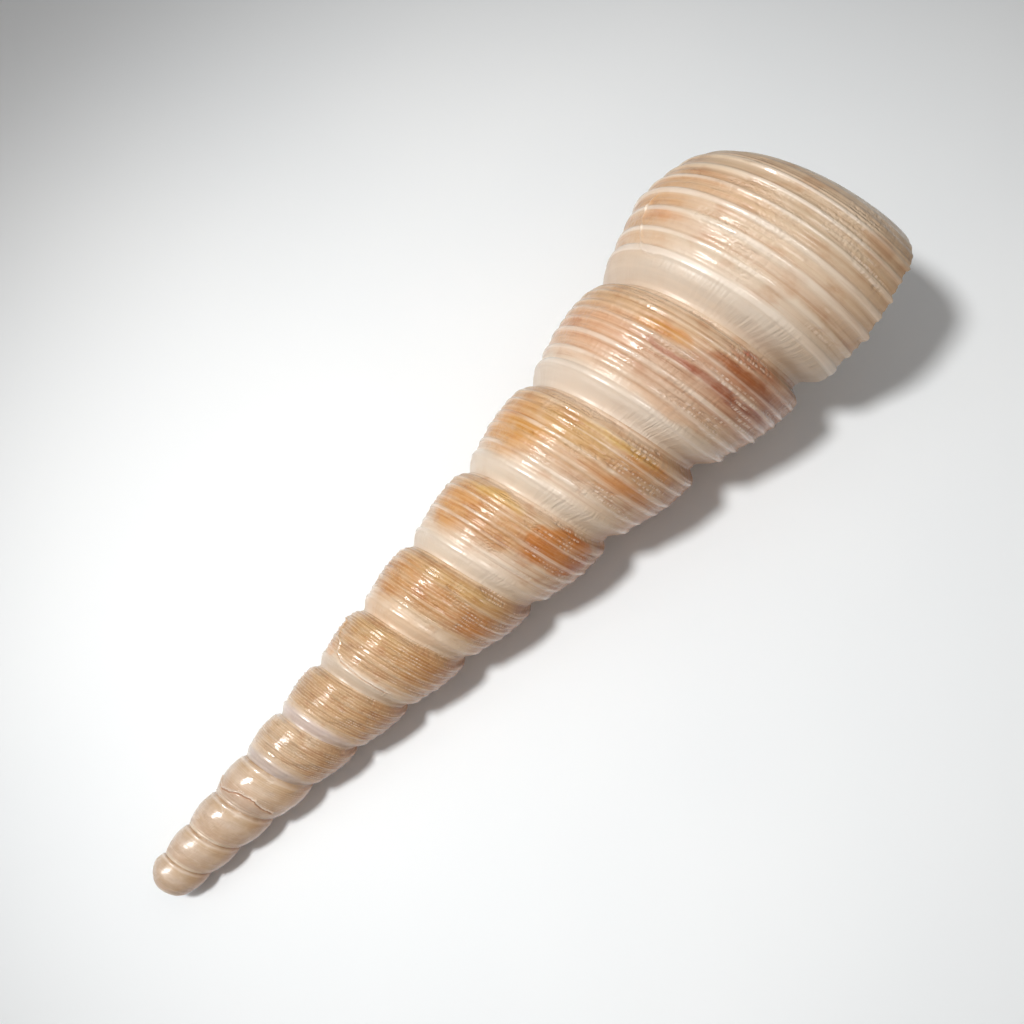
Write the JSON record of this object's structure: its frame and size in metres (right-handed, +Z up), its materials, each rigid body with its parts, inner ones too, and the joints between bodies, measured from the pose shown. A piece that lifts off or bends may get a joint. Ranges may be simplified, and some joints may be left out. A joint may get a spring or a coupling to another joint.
{
  "type": "screw shell",
  "caption": "Tall, slender dextral sea snail shell with rounded corded whorls, a worn tip and an open aperture.",
  "frame": {"origin": "centre of the bounding box's underside, on the surface the shell lies on", "axes": "+X along the shell towards its wide end, +Z up, the aperture on the -Y side facing down"},
  "size_m": [0.1108, 0.0306, 0.0318],
  "materials": {
    "shell": "polished, glossy shell with fine spiral cords"
  },
  "bodies": {
    "root": {"screw_shell": "shell"}
  },
  "joints": []
}
